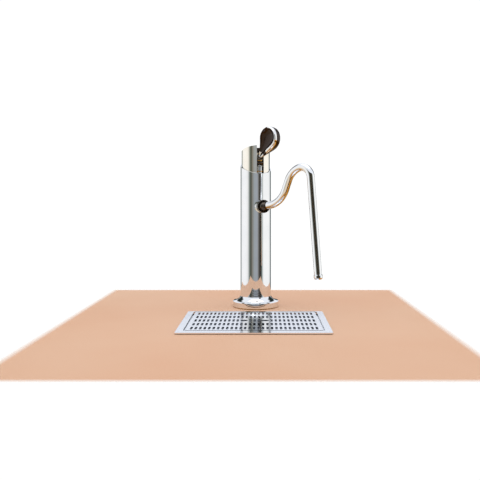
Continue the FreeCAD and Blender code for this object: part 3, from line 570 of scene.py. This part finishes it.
def make_world():
    """A white studio with grey walls and dark and golden cards, which only reflections and light see."""
    world = bpy.data.worlds.new("studio")
    bpy.context.scene.world = world
    world.use_nodes = True
    tree = world.node_tree
    tree.nodes.clear()

    def node(kind, **values):
        made = tree.nodes.new(kind)
        for key, value in values.items():
            setattr(made, key, value)
        return made

    link = tree.links.new

    def fade(source, start, end, low=0.0, high=1.0, kind="LINEAR"):
        made = node("ShaderNodeMapRange", interpolation_type=kind)
        made.inputs["From Min"].default_value = start
        made.inputs["From Max"].default_value = end
        made.inputs["To Min"].default_value = low
        made.inputs["To Max"].default_value = high
        link(source, made.inputs["Value"])
        return made.outputs["Result"]

    def covered(under, share, colour):
        mix = node("ShaderNodeMix", data_type="RGBA")
        mix.inputs["B"].default_value = colour
        link(share, mix.inputs["Factor"])
        link(under, mix.inputs["A"])
        return mix.outputs["Result"]

    split = node("ShaderNodeSeparateXYZ")
    link(node("ShaderNodeTexCoord").outputs["Generated"], split.inputs[0])
    back = node("ShaderNodeMath", operation="MULTIPLY")
    back.inputs[1].default_value = -1.0
    link(split.outputs["Y"], back.inputs[0])
    turn = node("ShaderNodeMath", operation="ARCTAN2")
    link(split.outputs["X"], turn.inputs[0])
    link(back.outputs[0], turn.inputs[1])
    ramp = node("ShaderNodeValToRGB")
    fill_ramp(ramp.color_ramp, [((angle + 180) / 360, srgb(code)) for angle, code in WALLS])
    link(fade(turn.outputs[0], -math.pi, math.pi), ramp.inputs["Fac"])
    inside = ramp.outputs["Color"]
    # over the walls is the white ceiling, which comes lower at the back, and the ground is pale and warm
    behind = fade(split.outputs["Y"], 0.0, 0.6, CEILING_FRONT, CEILING_BACK)
    above = node("ShaderNodeMath", operation="SUBTRACT")
    link(split.outputs["Z"], above.inputs[0])
    link(behind, above.inputs[1])
    ceiling = fade(above.outputs[0], -CEILING_BLUR, CEILING_BLUR, kind="SMOOTHSTEP")
    inside = covered(inside, ceiling, srgb("f2f6ff"))
    ground = fade(split.outputs["Z"], -0.17, -0.24, kind="SMOOTHSTEP")
    inside = covered(inside, ground, srgb("e4d6c2"))
    aside = node("ShaderNodeMath", operation="ABSOLUTE")
    link(turn.outputs[0], aside.inputs[0])
    for code, both_sides, near, far, foot, head in CARDS:
        angle = aside.outputs[0] if both_sides else turn.outputs[0]
        edges = [
            fade(angle, math.radians(near[0]), math.radians(near[1]), kind="SMOOTHSTEP"),
            fade(angle, math.radians(far[0]), math.radians(far[1]), 1.0, 0.0, "SMOOTHSTEP"),
            fade(split.outputs["Z"], *foot, kind="SMOOTHSTEP"),
            fade(split.outputs["Z"], *head, 1.0, 0.0, "SMOOTHSTEP"),
        ]
        card = edges[0]
        for edge in edges[1:]:
            product = node("ShaderNodeMath", operation="MULTIPLY")
            link(card, product.inputs[0])
            link(edge, product.inputs[1])
            card = product.outputs[0]
        inside = covered(inside, card, srgb(code))
    # the camera itself sees plain white
    inside = covered(inside, node("ShaderNodeLightPath").outputs["Is Camera Ray"], (1.0, 1.0, 1.0, 1.0))
    glow = node("ShaderNodeBackground")
    glow.inputs["Strength"].default_value = 1.05
    link(inside, glow.inputs["Color"])
    link(glow.outputs[0], node("ShaderNodeOutputWorld").inputs["Surface"])


def make_light():
    """One wide soft light over the middle, shining straight down."""
    data = bpy.data.lights.new("overhead", "AREA")
    data.shape = "RECTANGLE"
    data.size = 1.2
    data.size_y = 1.2
    data.energy = 4.0
    light = set_in_scene("overhead", data)
    light.location = (0.0, -0.1, 1.5)


def make_camera():
    """A level view from a little right of the column, about a metre away."""
    data = bpy.data.cameras.new("camera")
    data.lens = 46.0
    data.sensor_width = 36.0
    data.shift_x = -0.048
    data.shift_y = -0.0875
    data.clip_start = 0.01
    data.clip_end = 20.0
    camera = set_in_scene("camera", data)
    camera.location = (0.0122, -1.028, 0.181)
    camera.rotation_euler = (math.radians(90.0), 0.0, 0.0)
    bpy.context.scene.camera = camera


def make_flag():
    """A dark card that only polished metal sees: it puts the dark line down the wand."""
    mesh = bmesh.new()
    low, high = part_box("nozzle")
    left, right = low.x - 0.008, high.x + 0.014
    front = low.y - 0.022
    bottom, top = 0.045, 0.235
    # the card leans as the wand does, and bows a little
    lean_x, lean_y, bow = -0.013, 0.012, 0.006
    steps = 6
    rows = []
    for i in range(steps + 1):
        x = left + (right - left) * i / steps
        y = front - bow * math.sin(math.pi * i / steps)
        rows.append([mesh.verts.new((x, y, bottom)), mesh.verts.new((x + lean_x, y + lean_y, top))])
    for row, following in zip(rows, rows[1:]):
        mesh.faces.new((row[0], following[0], following[1], row[1]))
    flag = set_in_scene("flag", to_data("flag", mesh))
    m = Maker("flag_cloth")
    m.colour(m.ramp(m.noise(30.0, 3.0), [(0.3, srgb("3f3c31")), (0.7, srgb("524e40"))]))
    m.rough(m.spread(m.noise(90.0, 3.0), 0.8, 0.95))
    paint(flag, m.material)
    flag.visible_camera = False
    flag.visible_diffuse = False
    flag.visible_shadow = False
    flag.visible_transmission = False


make_floor()
make_flag()
make_world()
make_light()
make_camera()
bpy.context.scene.view_settings.view_transform = "Standard"
